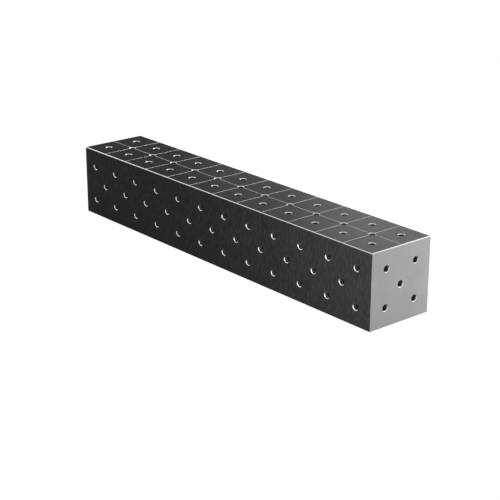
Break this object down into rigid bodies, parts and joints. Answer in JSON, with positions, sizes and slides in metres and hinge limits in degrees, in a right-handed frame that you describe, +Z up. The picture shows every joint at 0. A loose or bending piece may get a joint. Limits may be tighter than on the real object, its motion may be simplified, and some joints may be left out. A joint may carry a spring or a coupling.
{
  "type": "welding table block",
  "caption": "Long square hollow steel block drilled on every side for clamping bolts, with lines scribed on its working face.",
  "frame": {"origin": "middle of the underside", "axes": "+X along the block towards the right end, +Z up to the scribed face; the front looks along -Y"},
  "size_m": [1.2, 0.2, 0.2],
  "materials": {
    "top_steel": "ground, dark grey",
    "side_steel": "brushed, near black",
    "end_steel": "ground, light grey",
    "seam_steel": "weld ground flush",
    "end_seam_steel": "weld ground flush",
    "rib_steel": "plain mill finish",
    "bead_steel": "weld as laid"
  },
  "bodies": {
    "root": {"top_plate": "top_steel", "bottom_plate": "side_steel", "front_plate": "side_steel", "rear_plate": "side_steel", "left_end_plate": "end_steel", "right_end_plate": "end_steel", "seam_weld_top_front": "seam_steel", "seam_weld_top_rear": "seam_steel", "seam_weld_bottom_front": "seam_steel", "seam_weld_bottom_rear": "seam_steel", "left_end_weld_bottom": "end_seam_steel", "left_end_weld_rear": "end_seam_steel", "left_end_weld_top": "end_seam_steel", "left_end_weld_front": "end_seam_steel", "right_end_weld_bottom": "end_seam_steel", "right_end_weld_rear": "end_seam_steel", "right_end_weld_top": "end_seam_steel", "right_end_weld_front": "end_seam_steel", "rib_1": "rib_steel", "rib_1_welds": "bead_steel", "rib_2": "rib_steel", "rib_2_welds": "bead_steel", "rib_3": "rib_steel", "rib_3_welds": "bead_steel", "rib_4": "rib_steel", "rib_4_welds": "bead_steel"}
  },
  "joints": []
}
